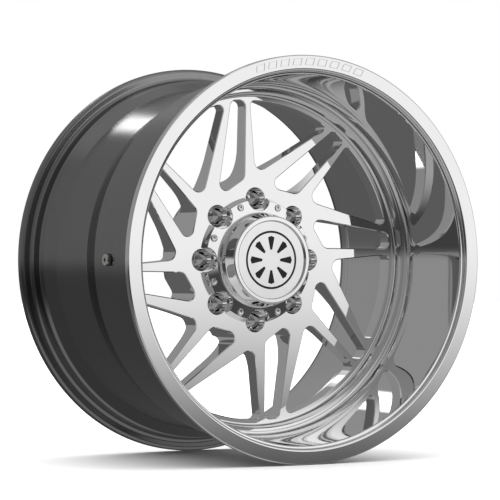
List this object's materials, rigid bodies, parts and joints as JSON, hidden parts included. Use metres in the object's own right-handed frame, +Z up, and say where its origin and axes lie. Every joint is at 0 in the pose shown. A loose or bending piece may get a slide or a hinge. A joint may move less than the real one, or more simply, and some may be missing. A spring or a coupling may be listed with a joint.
{
  "type": "racing wheel rim",
  "caption": "Deep-dish forged alloy racing wheel rim with swept spokes, a lug circle, a screwed-on centre cap and a metal tyre valve.",
  "frame": {"origin": "on the wheel's axis, midway between the outer faces of the two flanges", "axes": "+Y along the axis towards the hub side, so the spoke face looks along -Y; +Z up; the valve is on the -X side"},
  "size_m": [0.5477, 0.331, 0.5478],
  "materials": {
    "barrel_alloy": "mirror polished dish and lip, satin inside",
    "polished_alloy": "mirror polished face, milled window walls",
    "weld": "rippled weld, unpolished",
    "cap_chrome": "bright polished",
    "cap_plate": "fine spun",
    "emblem_enamel": "gloss dark enamel",
    "seal_rubber": "matte black rubber",
    "screw_steel": "bright zinc plated",
    "valve_nickel": "nickel plated",
    "core_brass": "turned brass",
    "spring_steel": "drawn wire",
    "valve_cap_alloy": "anodised, knurled"
  },
  "bodies": {
    "wheel": {"rim_barrel": "barrel_alloy", "wheel_centre": "polished_alloy", "weld_bead": "weld", "cap_ring": "cap_chrome", "cap_cup": "cap_chrome", "cap_face_plate": "cap_plate", "cap_emblem": "emblem_enamel", "cap_ring_seal": "seal_rubber", "cap_cup_seal": "seal_rubber", "cap_screws": "screw_steel", "valve_stem": "valve_nickel", "valve_grommet": "seal_rubber", "valve_washer": "valve_nickel", "valve_nut": "valve_nickel", "valve_core_body": "core_brass", "valve_core_seal": "seal_rubber", "valve_core_spring": "spring_steel"},
    "core_pin": {"valve_core_pin": "core_brass", "valve_pin_seal": "seal_rubber"},
    "cap_slide": {"valve_cap_seal": "seal_rubber"},
    "cap_turn": {"valve_cap": "valve_cap_alloy"}
  },
  "joints": [
    {"name": "core_pin_press", "type": "slide", "parent": "wheel", "child": "core_pin", "axis": [-1, 0, 0], "range_m": [0, 0.001], "stiffness_N_per_m": 1500, "springref_m": -0.002, "deforming": ["valve_core_spring"]},
    {"name": "valve_cap_slide", "type": "slide", "parent": "wheel", "child": "cap_slide", "axis": [1, 0, 0], "range_m": [0, 0.00794]},
    {"name": "valve_cap_turn", "type": "hinge", "parent": "cap_slide", "child": "cap_turn", "pos_m": [-0.21, -0.0655, 0], "axis": [1, 0, 0], "range_deg": [0, 3600]}
  ],
  "couplings": [
    {"joint": "valve_cap_turn", "follows": "valve_cap_slide", "rad_per_m": 7913.3}
  ]
}
